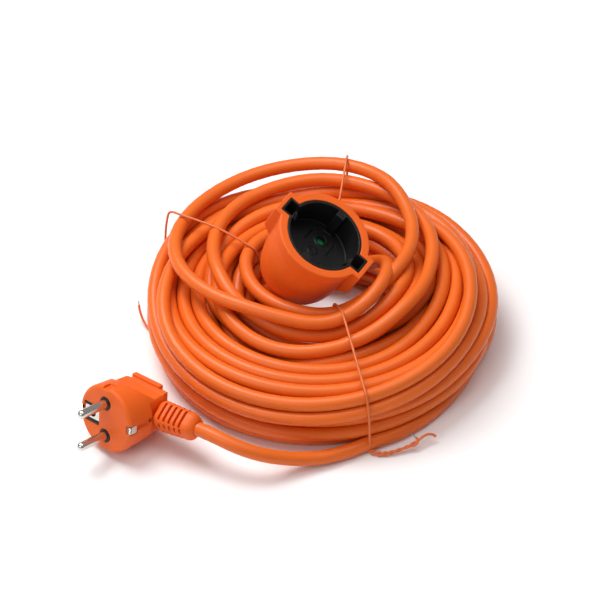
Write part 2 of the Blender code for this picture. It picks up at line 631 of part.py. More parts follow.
def make_pin_contact(name, frame, end):
    """A fork of brass strip that grips a pin between two leaves."""
    leaf, foot = 2.45 * MM, -36.0 * MM
    line = [(leaf + 0.25 * MM, -24.2 * MM), (leaf - 0.35 * MM, -27 * MM), (leaf, -31 * MM),
            (leaf, foot + 0.9 * MM), (leaf - 0.9 * MM, foot), (0, foot)]
    line = line + [(-x, z) for x, z in line[-2::-1]]
    sheet_metal(name, [strip(line, 0.6 * MM)], 2.6 * MM, BRASS, frame, rotation=(pi / 2, 0, pi / 2),
                location=(0, end * PIN_PITCH / 2, 0))


def make_earth(frame):
    """The bracket under the carrier and the two sprung clips that stand on its arms."""
    arm, bottom = 19.7 * MM, -37.0 * MM
    line = [(arm, -CLIP_HINGE_DEPTH - 0.7 * MM), (arm, bottom + 1.2 * MM), (arm - 1.2 * MM, bottom),
            (0, bottom)]
    line = line + [(-x, z) for x, z in line[-2::-1]]
    sheet_metal("socket_earth_bracket", [strip(line, 0.8 * MM)], 2.5 * MM, NICKEL, frame,
                rotation=(pi / 2, 0, 0))
    foot = -CLIP_HINGE_DEPTH
    rise = [(0, -0.3 * MM), (0, 8 * MM), (-0.5 * MM, 12 * MM), (-2.0 * MM, 15.0 * MM),
            (-2.4 * MM, 17.2 * MM), (-1.9 * MM, 19.2 * MM), (0.2 * MM, 21.6 * MM)]
    for name, side in (("socket_earth_clip_left", -1), ("socket_earth_clip_right", 1)):
        axis = joint_axis(name + "_axis", frame, (side * CLIP_HINGE_REACH, 0, foot))
        line = [(side * x, z) for x, z in rise]
        sheet_metal(name, [strip(line, 0.7 * MM)], 2.3 * MM, NICKEL, axis, rotation=(pi / 2, 0, 0))


def make_socket_cores(frame):
    for name, place_at, radius, top in (("socket_line_crimp", (0, 9.5 * MM), 1.45 * MM, -36.7 * MM),
                                        ("socket_neutral_crimp", (0, -9.5 * MM), 1.45 * MM, -36.7 * MM),
                                        ("socket_earth_crimp", (4 * MM, 0), 1.2 * MM, -37.8 * MM)):
        cylinder(name, radius, top, -40.2 * MM, BRASS, frame, place_at, 12)
    starts = {"socket_line_core": (BROWN, 0, 9.5), "socket_neutral_core": (BLUE, 0, -9.5),
              "socket_earth_core": (EARTH_GREEN, 4.0, 0)}
    for k, (name, (colour, x, y)) in enumerate(starts.items()):
        turn = atan2(y, x) if k < 2 else 0.0
        end = (1.9 * cos(turn), 1.9 * sin(turn))
        route = [(x, y, -40.7), (x, y, -41.1), (0.8 * x, 0.8 * y, -42.4), (0.45 * x, 0.45 * y, -43.2),
                 (1.1 * end[0], 1.1 * end[1], -44.6), (end[0], end[1], -46.2), (end[0], end[1], -49.6)]
        rod(name, smooth_route([Vector(p) * MM for p in route], 1.6 * MM), 2.0 * MM, colour, frame)


def relief_path(start, stop, count):
    """Points along the straight and then the bend below the socket, at the distances from start to stop."""
    side, _, out = directions(SOCKET_HEADING, SOCKET_LIFT, SOCKET_ROLL)
    level = Vector((-out.x, -out.y, 0)).normalized()
    rear = COIL_CENTRE + SOCKET_PLACE - out * (HOUSING_LENGTH + GAP)
    path = []
    for k in range(count + 1):
        distance = start + (stop - start) * k / count
        if distance <= RELIEF_STRAIGHT:
            path.append(rear - out * distance)
            continue
        bend = (distance - RELIEF_STRAIGHT) / RELIEF_BEND_RADIUS
        down = SOCKET_LIFT
        across = RELIEF_BEND_RADIUS * (sin(down) - sin(down - bend))
        drop = RELIEF_BEND_RADIUS * (cos(down - bend) - cos(down))
        path.append(rear - out * RELIEF_STRAIGHT + level * across - Vector((0, 0, drop)))
    return path


def make_socket_relief():
    length = RELIEF_STRAIGHT + RELIEF_BEND_RADIUS * RELIEF_BEND
    count = 9
    taper = [1 - 0.27 * k / count for k in range(count + 1)]
    rod("socket_strain_relief", relief_path(0, length, count), 14.6 * MM, ORANGE, taper=taper, resolution=4)
    stop = length + GAP + RELIEF_BEND_RADIUS * LEAD_BEND
    rod("socket_lead", relief_path(length + 2 * GAP, stop, 2), CABLE_DIAMETER, CABLE, resolution=3)


def make_socket():
    frame = new_frame("socket_frame", COIL_CENTRE + SOCKET_PLACE, SOCKET_HEADING, SOCKET_LIFT, SOCKET_ROLL)
    make_housing(frame)
    make_insert(frame)
    make_carrier(frame)
    make_shutter(frame)
    make_pin_contact("socket_line_contact", frame, 1)
    make_pin_contact("socket_neutral_contact", frame, -1)
    make_earth(frame)
    make_socket_cores(frame)
    make_socket_relief()


def shade_smooth():
    """Round faces shaded smooth, with the sharp edges kept."""
    for piece in PARTS.objects:
        if piece.type == "MESH":
            piece.data.shade_smooth()
            piece.data.set_sharp_from_angle(angle=radians(35))


make_coil()
make_ties()
make_plug()
make_plug_lead()
make_socket()
shade_smooth()
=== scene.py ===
"""Looks of the extension cord: the wound cable, both moulded ends, the wire ties, and a plain studio.

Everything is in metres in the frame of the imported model. The plug and the socket have frames of their own,
as in the CAD model: Z along the pins or out of the socket, origin in the pin face or at the rim's centre.
"""
import json
from math import cos, pi, radians, sin

import bmesh
import bpy
import numpy as np
from mathutils import Matrix, Vector

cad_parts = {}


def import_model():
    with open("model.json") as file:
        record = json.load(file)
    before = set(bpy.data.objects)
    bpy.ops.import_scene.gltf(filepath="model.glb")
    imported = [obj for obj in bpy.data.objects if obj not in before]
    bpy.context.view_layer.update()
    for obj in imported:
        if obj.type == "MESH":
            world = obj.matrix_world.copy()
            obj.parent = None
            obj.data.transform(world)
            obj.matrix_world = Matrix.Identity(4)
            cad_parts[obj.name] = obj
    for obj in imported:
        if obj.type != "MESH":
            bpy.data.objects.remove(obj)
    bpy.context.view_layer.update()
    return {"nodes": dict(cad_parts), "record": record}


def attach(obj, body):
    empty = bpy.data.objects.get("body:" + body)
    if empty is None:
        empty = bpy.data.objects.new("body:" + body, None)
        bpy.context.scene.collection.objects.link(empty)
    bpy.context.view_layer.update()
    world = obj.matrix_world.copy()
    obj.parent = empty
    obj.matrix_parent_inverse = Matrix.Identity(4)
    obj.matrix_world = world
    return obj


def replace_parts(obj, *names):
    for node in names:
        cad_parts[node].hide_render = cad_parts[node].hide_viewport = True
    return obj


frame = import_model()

MM = 0.001

# Places shared with the CAD model
CABLE_DIAMETER = 7.6
COIL_CENTRE = np.array([16.4, 6.4, 0.0])
PLUG_PLACE = np.array([-113.7, -90.2, 21.2])
PLUG_TURN = (radians(227.1), radians(13.5), radians(8.2))
SOCKET_PLACE = np.array([0.7, -6.9, 76.0])
SOCKET_TURN = (radians(-35.6), radians(61.3), radians(-84.4))
PLUG_LEAD_ROUTE = [(-45.0, -107.8, 18.8), (-32.0, -108.8, 14.2), (-19.0, -106.4, 9.2), (-7.0, -103.2, 5.8),
                   (3.0, -99.9, 4.3), (12.0, -96.9, 4.0), (18.6, -93.5, 4.0)]
RELIEF_START = np.array([17.0, 0.0, -25.0])
RELIEF_LEAN = radians(8.0)
RELIEF_ROLL = radians(-52.0)         # the section is turned about the relief's own axis
RELIEF_LENGTH = 25.0
SOCKET_LENGTH = 50.3
SOCKET_RELIEF_LENGTH = 22.8
SOCKET_LEAD_END = 29.5               # along the same line, where the cord starts to bend back into the bundle


# ---------------------------------------------------------------- frames

def directions(heading, lift, roll):
    """The rows are a part frame's X, Y and Z."""
    forward = np.array([cos(lift) * cos(heading), cos(lift) * sin(heading), sin(lift)])
    level = np.cross([0, 0, 1], forward)
    level /= np.linalg.norm(level)
    side = cos(roll) * level + sin(roll) * np.cross(forward, level)
    return np.array([side, np.cross(forward, side), forward])


def frame_matrix(place, turn):
    matrix = Matrix(directions(*turn).T.tolist()).to_4x4()
    matrix.translation = Vector(((COIL_CENTRE + place) * MM).tolist())
    return matrix


PLUG = frame_matrix(PLUG_PLACE, PLUG_TURN)
SOCKET = frame_matrix(SOCKET_PLACE, SOCKET_TURN)


def make_camera():
    camera = bpy.data.objects.new("camera", bpy.data.cameras.new("camera"))
    camera.location = tuple((COIL_CENTRE + np.array([-12.57, -965.36, 892.68])) * MM)
    camera.rotation_euler = (radians(48.0), 0.0, 0.0)
    camera.data.lens = 142.74
    camera.data.sensor_width = 36.0
    bpy.context.scene.collection.objects.link(camera)
    bpy.context.scene.camera = camera


make_camera()


# ---------------------------------------------------------------- laying the cable
# The coil is laid turn by turn in polar coordinates about its centre, in millimetres. Each turn has a point
# every 5 degrees, so that what it rests on is found in one upright section at a time.

STEPS = 72
STEP = 2 * pi / STEPS
FIRST = -15                 # the first section, where the plug's lead joins the coil
TURNS = 31
MIDDLE = 67.2               # radius of the middle of the bundle
SPREAD = 25.2               # how far the cable's centre may lie from it
INNERMOST, OUTERMOST = 43.2, 89.6       # radii that a turn may be planned at
LEAD_RADIUS = 94.0          # where the plug's lead joins the coil
FIRST_RADIUS = 88.0         # the first turn
TAIL_BEND = 36.0            # radius of the bend under the bundle, from its lowest turn to the socket


def ease(t):
    t = np.clip(t, 0, 1)
    return t * t * (3 - 2 * t)


def slope_of(radius):
    return np.gradient(radius, STEP) / radius


def turn_angles(radius):
    """The angle of each point of the bundle, for radii that start at the first section."""
    return (FIRST + np.arange(len(radius))) * STEP


def lowest(radius, slope, section):
    """The lowest height for the cable's centre over what a section already holds."""
    height = CABLE_DIAMETER / 2 + 0.2
    for r, z, s in section:
        reach = CABLE_DIAMETER * np.sqrt(1 + (slope - s) ** 2)
        apart = abs(radius - r)
        if apart < reach:
            height = max(height, z + CABLE_DIAMETER * np.sqrt(1 - (apart / reach) ** 2))
    return height


def ground(radius, start, sections):
    """The lowest heights for a run of points, the first of them in the section start."""
    slope = slope_of(radius)
    return np.array([lowest(r, s, sections[(start + i) % STEPS])
                     for i, (r, s) in enumerate(zip(radius, slope))])


def soften(values, passes, fixed=0):
    """Smooth a row of values, all but the first fixed ones."""
    for _ in range(passes):
        p = np.concatenate([values[:1], values[:1], values, values[-1:], values[-1:]])
        new = (p[:-4] + 4 * p[1:-3] + 6 * p[2:-2] + 4 * p[3:-1] + p[4:]) / 16
        new[:fixed] = values[:fixed]
        values = new
    return values


def unkink(values, fixed=0, stride=1):
    """Take out only the sharpest bends, as the cable's stiffness does.

    A longer stride takes out longer bends.
    """
    n = len(values)
    before = 2 * values[0] - values[1:2 * stride + 1][::-1]
    after = 2 * values[-1] - values[-2 * stride - 1:-1][::-1]
    p = np.concatenate([before, values, after])
    new = (-p[:n] + 4 * p[stride:n + stride] + 10 * p[2 * stride:n + 2 * stride]
           + 4 * p[3 * stride:n + 3 * stride] - p[4 * stride:n + 4 * stride]) / 16
    new[:fixed] = values[:fixed]
    return new


def settle(floor, heights, fixed, passes=140, sag=0.02):
    """Let a stiff line down onto a floor, which it bridges where the floor dips."""
    z = np.maximum(floor, heights)
    z[:fixed] = heights[:fixed]
    for _ in range(passes):
        z = soften(z, 1, fixed)
        z[fixed:] = np.maximum(z[fixed:] - sag, floor[fixed:])
    for _ in range(6):
        z = soften(z, 1, fixed)
        z[fixed:] = np.maximum(z[fixed:], floor[fixed:] - 0.25)
    return z


def put_down(sections, start, radius, height):
    """Add a run of points to the sections that they cross."""
    for i, circle in enumerate(zip(radius, height, slope_of(radius))):
        sections[(start + i) % STEPS].append(circle)


def inner_tail(sections):
    """The lowest turn inside the bundle and the bend from it back to the socket's relief."""
    end = socket_relief_line(0.0, SOCKET_LEAD_END, 2)[-1]
    last = SOCKET_TURN[0] + 2 * pi
    heading = np.linspace(radians(196), last, 28)
    share = (heading - heading[0]) / (last - heading[0])
    centre = end[:2] + TAIL_BEND * np.array([-sin(last), cos(last)])
    bend = np.column_stack([centre[0] + TAIL_BEND * np.sin(heading),
                            centre[1] - TAIL_BEND * np.cos(heading),
                            4.0 + (end[2] - 4.0) * share ** 2.3])
    around = np.degrees(np.arctan2(bend[:, 1], bend[:, 0]))
    reach = np.hypot(bend[:, 0], bend[:, 1])
    first = int(np.ceil(around[0] / 5))
    angles = np.arange(first, int(around[-1] / 5) + 1) * 5.0
    put_down(sections, first, np.interp(angles, around, reach), np.interp(angles, around, bend[:, 2]))
    for section in range(29, 33):       # the relief's own stretch runs straight out, across these sections
        for r in (38.0, 42.0, 46.0, 50.0):
            sections[section].append((r, 12.5 - 0.2 * (r - 38), 0.0))
    degrees = np.arange(140, 360 + around[0] - 4, 5)
    out = reach[0]
    radius = np.interp(degrees, [140, 200, 300, 400, 440, 475],
                       [39.5, 43, 52, 0.5 * (60 + out), out - 1, out])
    radius = soften(radius, 12)
    turn = np.radians(degrees)
    put_down(sections, 28, radius, np.full(len(radius), 4.0))
    return polar(radius, turn, np.full(len(radius), 4.0)), bend


def side_limits(height):
    """How far in and out the cable's centre may lie at a height: the bundle is rounded, not square."""
    level = np.clip(abs(height - 20) / np.where(height > 20, 31.0, 26.0), 0, 0.97)
    half = SPREAD * (1 - level ** 2.5) ** 0.4
    return MIDDLE - half, MIDDLE + half


def lay_turns(sections, chance):
    """Lay each turn where the bundle is lowest, a little off centre, and let it roll into the hollows."""

    def before(turn):
        return np.full(len(turn), LEAD_RADIUS)

    radii, heights = [], []
    last = FIRST_RADIUS
    for number in range(TURNS):
        start = FIRST + number * STEPS
        turn = np.arange(start, start + STEPS) * STEP
        shift, towards = chance.uniform(1.5, 6.5), chance.uniform(0, 2 * pi)
        best = None
        for centre in np.arange(MIDDLE - 23, MIDDLE + 23.1, 1.5):
            radius = np.clip(centre + 0.6 * shift * np.cos(turn - towards), INNERMOST, OUTERMOST)
            level = ground(radius, start, sections).mean()
            # outside is how far this lies out of the bundle's rounded section
            outside = max(0, abs((centre - 66) / 24.5) ** 2.5 + (max(level - 20, 0) / 26.5) ** 2.5 - 1)
            cost = level + 0.32 * abs(centre - last) + chance.uniform(0, 2) + 14 * outside
            if best is None or cost < best[0]:
                best = (cost, centre)
        centre = last = best[1]
        if number == 0:
            centre, shift = FIRST_RADIUS, 0.0

        def after(turn, centre=centre, shift=shift, towards=towards):
            return np.clip(centre + shift * np.cos(turn - towards), 43.2, 90.0)

        share = ease((turn - turn[0]) / np.radians(chance.uniform(120, 240)))
        plan = (1 - share) * before(turn) + share * after(turn)
        before = after
        radius = plan.copy()
        for _ in range(12):
            floor = ground(radius, start, sections)
            fall = (ground(radius + 0.8, start, sections) - ground(radius - 0.8, start, sections)) / 1.6
            touching = np.exp(-np.maximum(0, settle(floor, floor, 0, 20) - floor) / 1.5)
            radius = radius + soften(-0.9 * np.clip(fall, -1.2, 1.2) * touching, 3)
            radius = np.clip(plan + np.clip(radius - plan, -5, 5), 43.0, 92.0)
            radius = soften(radius, 2)
        if number:
            radius = radius + (radii[-1][-1] - radius[0]) * (1 - ease(np.arange(STEPS) / 22))
            joined = np.concatenate([radii[-1][-18:], radius])
            floor = ground(joined, start - 18, sections)
            height = settle(floor, np.concatenate([heights[-1][-18:], floor[18:]]), 18)[18:]
        else:
            floor = ground(radius, start, sections)
            height = settle(floor, floor, 0)
        put_down(sections, start, radius, height)
        radii.append(radius)
        heights.append(height)
    return np.concatenate(radii), np.concatenate(heights)


def pack_down(radius, height, fixed, passes):
    """Let the whole bundle sink and push its turns apart until they lie on and beside each other."""
    size = CABLE_DIAMETER + 0.1
    held = 3
    first_radius, first_height = radius[:held].copy(), height[:held].copy()
    table = np.full((STEPS, max(len(f) for f in fixed), 3), (1e4, 1e4, 0.0))
    for k, section in enumerate(fixed):
        for place, circle in enumerate(section):
            table[k, place] = circle
    index = np.arange(len(radius)).reshape(-1, STEPS).T
    order = (FIRST + np.arange(STEPS)) % STEPS
    table = table[order]
    itself = np.eye(TURNS, dtype=bool)[None]
    margin = 8 * np.clip(1 - np.arange(len(radius)) / 8, 0, 1)
    at_front = np.clip(np.cos(turn_angles(radius) + radians(52)), 0, 1)
    margin -= 4.0 * at_front ** 4       # the bundle is flatter there
    for step in range(passes):
        height[held:] -= 0.10 if step < passes * 0.6 else 0.05
        for _ in range(2):
            for stride in (3, 2, 1):
                radius[held:-1] = (0.6 * radius + 0.4 * unkink(radius, held, stride))[held:-1]
                height[held:] = (0.6 * height + 0.4 * unkink(height, held, stride))[held:]
            slope = slope_of(radius)
            r, z, s = radius[index], height[index], slope[index]
            move_r, move_z = np.zeros_like(r), np.zeros_like(z)
            for other_r, other_z, other_s, share, skip in ((r, z, s, 0.42, itself),
                                                           (*np.moveaxis(table, 2, 0), 0.8, False)):
                stretch = np.sqrt(1 + (s[:, :, None] - other_s[:, None, :]) ** 2)
                across = (r[:, :, None] - other_r[:, None, :]) / stretch
                above = z[:, :, None] - other_z[:, None, :]
                apart = np.hypot(across, above)
                push = share * np.where(skip, 0, np.maximum(0, size - apart)) / np.maximum(apart, 0.3)
                move_r += (across * push * stretch).sum(2)
                move_z += (above * push).sum(2)
            radius[index] += np.clip(move_r, -0.6, 0.6)
            height[index] += np.clip(move_z, -0.6, 0.6)
            low, high = side_limits(height)
            high = high + margin
            radius += 0.4 * np.maximum(0, low - radius) - 0.4 * np.maximum(0, radius - high)
            height[:] = np.maximum(height, CABLE_DIAMETER / 2)
            radius[:held], height[:held] = first_radius, first_height
    return radius, height


# The loose turns on top, as angle in degrees, radius and least height. They start where the bundle ends,
# swing out at the back, pass in front of the hole twice, swing far out at the back, pass in front again and
# dive in beside the socket.
TOP_LOOPS = [(-75, None, 0), (-40, 52.0, 0), (0, 57.0, 0), (45, 71.0, 0), (90, 79.0, 0), (135, 72.0, 0),
             (180, 57.0, 0), (225, 46.0, 26), (270, 40.0, 34), (300, 40.2, 34), (325, 42.0, 33),
             (360, 45.5, 30), (405, 47.5, 30), (450, 47.0, 34), (480, 47.4, 36), (501, 47.4, 38),
             (523, 44.4, 39), (542, 39.8, 39), (561, 35.6, 39), (582, 31.6, 39), (605, 29.2, 39),
             (634, 28.6, 39), (657, 29.4, 39), (678, 31.4, 38), (700, 36.0, 37), (718, 42.0, 38),
             (736, 49.1, 39), (751, 56.6, 42), (769, 66.3, 43), (784, 77.5, 43), (794, 84.6, 42),
             (803, 89.0, 41), (825, 91.6, 40), (839, 91.6, 39), (856, 89.5, 38), (871, 88.0, 38),
             (884, 85.4, 38), (894, 80.9, 38), (907, 71.9, 38), (920, 61.6, 38), (939, 49.6, 40),
             (964, 41.6, 41), (1003, 40.1, 42), (1025, 38.6, 42), (1049, 37.2, 42), (1075, 35.2, 41),
             (1101, 33.0, 37), (1125, 32.4, 30), (1155, 33.2, 20), (1190, 36.0, 9), (1220, 38.5, 4.5)]
LAST = 1220
FREE_FALL = 1102            # from this angle the height is the given one


def lay_top_loops(sections, radius, height):
    """Lay the loose turns from the bundle's last point, one turn at a time, on what is already there."""
    angles = np.arange(-75, LAST + 1, 5)
    table = np.array([(a, radius if r is None else r, z) for a, r, z in TOP_LOOPS], float)
    path = soften(np.interp(angles, table[:, 0], table[:, 1]), 3, 1)
    least = soften(np.interp(angles, table[:, 0], table[:, 2]), 3)
    heights = []
    for start in range(0, len(angles), STEPS):
        part = path[start:start + STEPS]
        floor = np.maximum(ground(part, FIRST + start, sections), least[start:start + STEPS])
        falling = angles[start:start + STEPS] > FREE_FALL
        floor = np.where(falling, least[start:start + STEPS], floor)
        before = heights[-1][-18:] if heights else np.full(1, height)
        joined = np.concatenate([before, floor])
        rest = settle(joined, joined, len(before), 60, 0.01)[len(before):]
        rest = np.where(falling, least[start:start + STEPS], rest)
        put_down(sections, FIRST + start, part, rest)
        heights.append(rest)
    whole = np.concatenate(heights)
    return angles[1:], path[1:], whole[1:]


def polar(radius, turn, height):
    return np.column_stack([radius * np.cos(turn), radius * np.sin(turn), height])


def catmull_rom(points, spacing):
    points = np.asarray(points, float)
    ends = np.vstack([2 * points[0] - points[1], points, 2 * points[-1] - points[-2]])
    route = []
    for a, b, c, d in zip(ends, ends[1:], ends[2:], ends[3:]):
        steps = max(1, round(float(np.linalg.norm(c - b)) / spacing))
        t = (np.arange(steps) / steps)[:, None]
        route.append(0.5 * (2 * b + (c - a) * t + (2 * a - 5 * b + 4 * c - d) * t ** 2
                            + (3 * b - a - 3 * c + d) * t ** 3))
    return np.vstack(route + [points[-1:]])


def in_plug(x, y, z):
    return np.array(PLUG @ Vector((x * MM, y * MM, z * MM))) / MM - COIL_CENTRE


def socket_relief_line(start, stop, count):
    """Points below the socket: a straight, then a bend towards the floor, at distances from start to stop."""
    straight, bend_radius = 5.0, 31.0
    out = directions(*SOCKET_TURN)[2]
    lift = SOCKET_TURN[1]
    level = np.array([-out[0], -out[1], 0.0]) / np.hypot(out[0], out[1])
    rear = SOCKET_PLACE - out * SOCKET_LENGTH
    line = []
    for distance in np.linspace(start, stop, count):
        if distance <= straight:
            line.append(rear - out * distance)
            continue
        bend = (distance - straight) / bend_radius
        line.append(rear - out * straight + level * bend_radius * (sin(lift) - sin(lift - bend))
                    - np.array([0, 0, bend_radius * (cos(lift - bend) - cos(lift))]))
    return np.array(line)


def ease_bends(line, least_radius, passes=240):
    """Open up what is bent tighter than the cable bends, and leave the rest and both ends alone."""
    for number in range(passes):
        step = np.diff(line, axis=0)
        length = np.linalg.norm(step, axis=1)
        along = step / length[:, None]
        angle = np.arccos(np.clip((along[1:] * along[:-1]).sum(1), -1, 1))
        tight = np.zeros(len(line))
        tight[1:-1] = 2 * angle / (length[1:] + length[:-1]) > 1 / least_radius
        near = np.convolve(tight, np.ones(13), "same").clip(0, 1)
        near = np.convolve(near, np.ones(5) / 5, "same")
        near[:2] = near[-40:] = 0
        stride = 1 + number % 3
        smooth = np.column_stack([unkink(axis, 0, stride) for axis in line.T])
        line = line + 0.7 * near[:, None] * (smooth - line)
        line[:, 2] = np.maximum(line[:, 2], CABLE_DIAMETER / 2)
    return line


def lay_cable():
    """The cord's whole line, from the plug's relief to the socket's, and what each section holds."""
    chance = np.random.default_rng(3)
    sections = [[] for _ in range(STEPS)]
    low, bend = inner_tail(sections)
    fixed = [list(section) for section in sections]
    radius, height = lay_turns(sections, chance)
    radius, height = pack_down(radius, height, fixed, 500)
    sections = [list(section) for section in fixed]
    put_down(sections, FIRST, radius, height)
    angles, top_radius, top_height = lay_top_loops(sections, radius[-1], height[-1])
    lean = np.array([cos(RELIEF_LEAN), 0, -sin(RELIEF_LEAN)])
    leaves = [in_plug(*(RELIEF_START + lean * (RELIEF_LENGTH + d))) for d in (-3.0, 0.5, 4.0, 8.0)]
    lead = catmull_rom([*leaves, *PLUG_LEAD_ROUTE], 5.0)[:-1]
    bundle = polar(radius, turn_angles(radius), height)
    loops = polar(top_radius, np.radians(angles), top_height)
    relief_end = socket_relief_line(SOCKET_RELIEF_LENGTH + 0.1, SOCKET_LEAD_END, 3)[::-1]
    line = np.vstack([lead, bundle, loops, low[1:], bend[1:-1], relief_end])
    return ease_bends(line, 31.0), sections


def curve_piece(name, points, diameter, sides, taper=None):
    """A round tube along points in millimetres, as a mesh that rides on the root."""
    curve = bpy.data.curves.new(name, "CURVE")
    curve.dimensions = "3D"
    curve.bevel_depth = diameter / 2 * MM
    curve.bevel_resolution = sides // 2 - 2
    curve.use_fill_caps = True
    spline = curve.splines.new("POLY")
    spline.points.add(len(points) - 1)
    for i, point in enumerate(points):
        spline.points[i].co = (*(point * MM), 1)
        if taper is not None:
            spline.points[i].radius = taper[i]
    line = bpy.data.objects.new(name + "_line", curve)
    bpy.context.scene.collection.objects.link(line)
    seen = line.evaluated_get(bpy.context.evaluated_depsgraph_get())
    piece = bpy.data.objects.new(name, bpy.data.meshes.new_from_object(seen))
    bpy.data.objects.remove(line)
    bpy.context.scene.collection.objects.link(piece)
    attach(piece, "root")
    return piece


cable_line, cable_sections = lay_cable()
cable_line = cable_line + COIL_CENTRE
cable = curve_piece("orange_cable", cable_line, CABLE_DIAMETER, 16)
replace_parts(cable, "cable_coil", "plug_lead", "socket_lead")


# ---------------------------------------------------------------- materials

def new_material(name, colour, roughness, metallic=0.0, grain=0.0, bump=0.0, spread=0.06, speckle=300.0,
                 gleam=0.5, marks=0.0):
    """A procedural finish: cloudy colour, uneven gloss and a fine grain, all in object space.

    marks is how strongly thin scuffs darken the colour and dull the gloss; gleam is the strength of the
    reflections from the surface.
    """
    material = bpy.data.materials.new(name)
    material.use_nodes = True
    nodes, links = material.node_tree.nodes, material.node_tree.links
    shader = nodes["Principled BSDF"]
    shader.inputs["Metallic"].default_value = metallic
    shader.inputs["Specular IOR Level"].default_value = gleam
    place = nodes.new("ShaderNodeTexCoord")

    def noise(scale, detail=3.0, rough=0.55):
        node = nodes.new("ShaderNodeTexNoise")
        node.inputs["Scale"].default_value = scale
        node.inputs["Detail"].default_value = detail
        node.inputs["Roughness"].default_value = rough
        links.new(place.outputs["Object"], node.inputs["Vector"])
        return node.outputs["Fac"]

    def ranged(value, low, high, start=0.3, stop=0.7):
        node = nodes.new("ShaderNodeMapRange")
        links.new(value, node.inputs["Value"])
        for key, number in (("From Min", start), ("From Max", stop), ("To Min", low), ("To Max", high)):
            node.inputs[key].default_value = number
        return node.outputs["Result"]

    def mixed(share, one, two):
        node = nodes.new("ShaderNodeMix")
        node.data_type = "RGBA"
        links.new(share, node.inputs["Factor"])
        for socket, value in ((node.inputs["A"], one), (node.inputs["B"], two)):
            if isinstance(value, tuple):
                socket.default_value = (*value, 1)
            else:
                links.new(value, socket)
        return node.outputs["Result"]

    light = tuple(min(1.0, c * (1 + spread)) for c in colour)
    dark = tuple(c * (1 - spread) for c in colour)
    base = mixed(ranged(noise(28.0), 0, 1), dark, light)
    gloss = ranged(noise(90.0), roughness - 0.05, roughness + 0.06)
    if marks:
        scuff = ranged(noise(420.0, 6.0, 0.7), 0, marks, 0.62, 0.74)
        base = mixed(scuff, base, tuple(c * 0.55 for c in colour))
        add = nodes.new("ShaderNodeMath")
        add.operation = "ADD"
        links.new(gloss, add.inputs[0])
        links.new(scuff, add.inputs[1])
        gloss = add.outputs["Value"]
    links.new(base, shader.inputs["Base Color"])
    links.new(gloss, shader.inputs["Roughness"])
    if bump:
        fine = nodes.new("ShaderNodeBump")
        fine.inputs["Strength"].default_value = grain
        fine.inputs["Distance"].default_value = bump * MM
        links.new(noise(speckle, 4.0), fine.inputs["Height"])
        links.new(fine.outputs["Normal"], shader.inputs["Normal"])
    return material


FINISHES = {
    "orange_cable": new_material("orange_cable", (0.79, 0.142, 0.013), 0.36, grain=0.25, bump=0.05,
                                 speckle=700.0, spread=0.05, gleam=0.36, marks=0.05),
    "orange_pvc": new_material("orange_pvc", (0.84, 0.123, 0.009), 0.48, grain=0.35, bump=0.05,
                               speckle=1500.0, spread=0.05, gleam=0.32, marks=0.06),
    "black_polyamide": new_material("black_polyamide", (0.010, 0.010, 0.0100), 0.36, grain=0.4, bump=0.05,
                                    speckle=1200.0, spread=0.3, gleam=0.3, marks=0.1),
    "green_shutter": new_material("green_shutter", (0.01, 0.33, 0.10), 0.4, grain=0.2, bump=0.03),
    "nickel_plate": new_material("nickel_plate", (0.76, 0.72, 0.66), 0.18, 1.0, grain=0.12, bump=0.02,
                                 spread=0.08, marks=0.12),
    "brass": new_material("brass", (0.78, 0.57, 0.24), 0.28, 1.0, grain=0.2, bump=0.02, marks=0.15),
    "spring_steel": new_material("spring_steel", (0.6, 0.6, 0.6), 0.26, 1.0, grain=0.2, bump=0.02),
    "brown_core": new_material("brown_core", (0.13, 0.05, 0.02), 0.45, grain=0.2, bump=0.03),
    "blue_core": new_material("blue_core", (0.02, 0.1, 0.45), 0.45, grain=0.2, bump=0.03),
    "green_yellow_core": new_material("green_yellow_core", (0.3, 0.45, 0.03), 0.45, spread=0.3, grain=0.2,
                                      bump=0.03),
    "orange_tie_wire": new_material("orange_tie_wire", (0.72, 0.15, 0.03), 0.36, grain=0.3, bump=0.03,
                                    speckle=1500.0),
}


def finish(piece, slot):
    """Give a piece the finish of a slot in the record."""
    piece.data.materials.clear()
    piece.data.materials.append(FINISHES[slot])


# ---------------------------------------------------------------- shapes

def raw(mesh_body):
    """A shape with no looks yet, in metres, from a bmesh in millimetres."""
    mesh = bpy.data.meshes.new("shape")
    bmesh.ops.scale(mesh_body, verts=mesh_body.verts, vec=(MM, MM, MM))
    bmesh.ops.recalc_face_normals(mesh_body, faces=mesh_body.faces)
    mesh_body.to_mesh(mesh)
    mesh_body.free()
    shape = bpy.data.objects.new("shape", mesh)
    bpy.context.scene.collection.objects.link(shape)
    return shape


def block(low, high):
    """A block between two opposite corners, given in any order."""
    body = bmesh.new()
    bmesh.ops.create_cube(body, size=1.0)
    low, high = (Vector(corner) for corner in np.sort([low, high], axis=0))
    bmesh.ops.scale(body, verts=body.verts, vec=high - low)
    bmesh.ops.translate(body, verts=body.verts, vec=(low + high) / 2)
    return raw(body)


def drum(radius, top, bottom, centre=(0, 0), segments=96, foot=None):
    body = bmesh.new()
    bmesh.ops.create_cone(body, cap_ends=True, segments=segments, radius1=foot or radius, radius2=radius,
                          depth=top - bottom)
    bmesh.ops.translate(body, verts=body.verts, vec=(*centre, (top + bottom) / 2))
    return raw(body)


def turned(profile, segments=160):
    """A solid of revolution from (radius, height) points that start and end on the axis."""
    body = bmesh.new()
    points = [body.verts.new((r, 0, z)) for r, z in profile]
    edges = [body.edges.new(pair) for pair in zip(points, points[1:])]
    bmesh.ops.spin(body, geom=points + edges, cent=(0, 0, 0), axis=(0, 0, 1), angle=2 * pi,
                   steps=segments, use_merge=True)
    bmesh.ops.remove_doubles(body, verts=body.verts, dist=0.0001)
    return raw(body)


